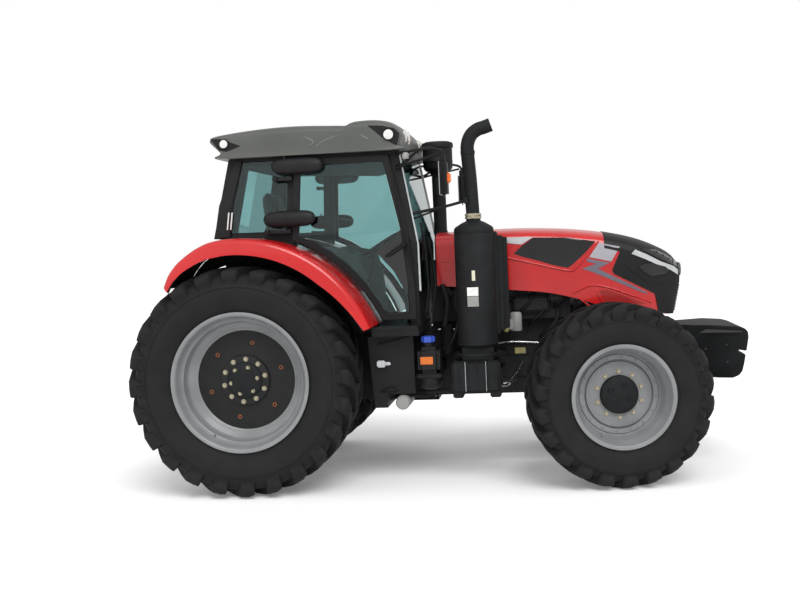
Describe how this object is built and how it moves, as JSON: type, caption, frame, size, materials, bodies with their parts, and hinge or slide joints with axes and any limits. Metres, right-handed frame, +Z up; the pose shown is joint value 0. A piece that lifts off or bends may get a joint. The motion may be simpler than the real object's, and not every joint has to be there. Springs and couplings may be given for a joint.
{
  "type": "farm tractor",
  "caption": "Row-crop farm tractor with a glazed cab, lifting bonnet, steered front drive axle, large rear wheels, three-point hitch, drawbar and front ballast weight.",
  "frame": {"origin": "on the ground, at the middle of the overall length and on the centre plane", "axes": "+X forwards, +Y to the tractor's left, +Z up"},
  "size_m": [5.2, 2.575, 2.99],
  "materials": {
    "red_paint": "gloss",
    "black_paint": "satin",
    "cast_iron": "matt",
    "roof_paint": "satin",
    "rim_paint": "satin",
    "tyre": "matt",
    "glass": "gloss",
    "plastic": "matt",
    "fabric": "matt",
    "steel": "satin"
  },
  "bodies": {
    "chassis": {"rear_axle": "cast_iron", "transmission": "cast_iron", "engine_block": "cast_iron", "front_support": "cast_iron", "front_weight": "black_paint", "front_axle": "cast_iron", "cab_floor": "black_paint", "cab_frame": "black_paint", "cab_roof": "roof_paint", "windscreen": "glass", "rear_window": "glass", "quarter_window_left": "glass", "quarter_window_right": "glass", "dashboard": "plastic", "seat_base": "plastic", "seat_cushion": "fabric", "seat_back": "fabric", "fender_left": "red_paint", "fender_right": "red_paint", "exhaust_stand": "black_paint", "exhaust_canister": "black_paint", "exhaust_pipe": "black_paint", "air_precleaner": "black_paint", "urea_tank": "plastic", "fuel_tank_right": "plastic", "fuel_tank_left": "plastic", "steps_left": "black_paint", "mirror_left": "black_paint", "mirror_right": "black_paint", "drawbar": "cast_iron"},
    "steering_rod": {"steering_rod": "steel"},
    "knuckle_left": {"knuckle_left": "cast_iron"},
    "knuckle_right": {"knuckle_right": "cast_iron"},
    "steering_wheel": {"steering_wheel": "plastic"},
    "top_link": {"top_link": "cast_iron"},
    "lift_arms": {"lift_arms": "cast_iron"},
    "wheel_rear_left": {"tyre_rear_left": "tyre", "rim_rear_left": "rim_paint"},
    "wheel_rear_right": {"tyre_rear_right": "tyre", "rim_rear_right": "rim_paint"},
    "wheel_front_left": {"tyre_front_left": "tyre", "rim_front_left": "rim_paint"},
    "wheel_front_right": {"tyre_front_right": "tyre", "rim_front_right": "rim_paint"},
    "door_left": {"door_left": "black_paint", "door_glass_left": "glass"},
    "door_right": {"door_right": "black_paint", "door_glass_right": "glass"},
    "bonnet": {"bonnet": "red_paint", "grille": "black_paint"},
    "lift_rods": {"lift_rod_left": "cast_iron", "lift_rod_right": "cast_iron"},
    "lower_links": {"lower_link_left": "cast_iron", "lower_link_right": "cast_iron"}
  },
  "joints": [
    {"name": "rear_wheel_left", "type": "hinge", "parent": "chassis", "child": "wheel_rear_left", "pos_m": [-1.44, 0.965, 0.92], "axis": [0, 1, 0], "continuous": true},
    {"name": "rear_wheel_right", "type": "hinge", "parent": "chassis", "child": "wheel_rear_right", "pos_m": [-1.44, -0.965, 0.92], "axis": [0, 1, 0], "continuous": true},
    {"name": "steer_left", "type": "hinge", "parent": "chassis", "child": "knuckle_left", "pos_m": [1.468, 0.706, 0.713], "axis": [0, 0, 1], "range_deg": [-49.2, 30.8]},
    {"name": "steer_right", "type": "hinge", "parent": "chassis", "child": "knuckle_right", "pos_m": [1.468, -0.706, 0.713], "axis": [0, 0, 1], "range_deg": [-49.2, 30.8]},
    {"name": "front_wheel_left", "type": "hinge", "parent": "knuckle_left", "child": "wheel_front_left", "pos_m": [1.43602, 0.90343, 0.713], "axis": [-0.1599, 0.9871, 0], "continuous": true},
    {"name": "front_wheel_right", "type": "hinge", "parent": "knuckle_right", "child": "wheel_front_right", "pos_m": [1.49998, -0.90343, 0.713], "axis": [-0.1599, 0.9871, 0], "continuous": true},
    {"name": "steering_rod_slide", "type": "slide", "parent": "chassis", "child": "steering_rod", "axis": [0, 1, 0], "range_m": [-0.105, 0.166]},
    {"name": "steering_wheel_turn", "type": "hinge", "parent": "chassis", "child": "steering_wheel", "pos_m": [-0.41034, 0, 1.96647], "axis": [-0.5014, 0, 0.8652], "range_deg": [-886, 555]},
    {"name": "door_left_hinge", "type": "hinge", "parent": "chassis", "child": "door_left", "pos_m": [-1.243, 0.936, 2.03], "axis": [0.1746, -0.0858, 0.9809], "range_deg": [0, 75]},
    {"name": "door_right_hinge", "type": "hinge", "parent": "chassis", "child": "door_right", "pos_m": [-1.243, -0.936, 2.03], "axis": [-0.1746, -0.0858, -0.9809], "range_deg": [0, 75]},
    {"name": "bonnet_hinge", "type": "hinge", "parent": "chassis", "child": "bonnet", "pos_m": [0.085, 0, 1.97], "axis": [0, -1, 0], "range_deg": [0, 50]},
    {"name": "hitch", "type": "hinge", "parent": "chassis", "child": "lower_links", "pos_m": [-1.59, 0, 0.68], "axis": [0, 1, 0], "range_deg": [-22, 25]},
    {"name": "lift_arms_turn", "type": "hinge", "parent": "chassis", "child": "lift_arms", "pos_m": [-1.82, 0, 1.27], "axis": [0, 1, 0], "range_deg": [-33, 37.5]},
    {"name": "lift_rods_turn", "type": "hinge", "parent": "lift_arms", "child": "lift_rods", "pos_m": [-2.16, 0, 1.27], "axis": [0, 1, 0], "range_deg": [-37.5, 33]},
    {"name": "top_link_pin", "type": "hinge", "parent": "chassis", "child": "top_link", "pos_m": [-1.95, 0, 1.06], "axis": [0, -1, 0], "range_deg": [0, 85]}
  ],
  "couplings": [
    {"joint": "steer_right", "follows": "steer_left", "ratio": 1},
    {"joint": "steering_rod_slide", "follows": "steer_left", "m_per_rad": -0.19},
    {"joint": "steering_wheel_turn", "follows": "steer_left", "ratio": 18},
    {"joint": "lift_arms_turn", "follows": "hitch", "ratio": 1.5},
    {"joint": "lift_rods_turn", "follows": "hitch", "ratio": -1.5}
  ]
}
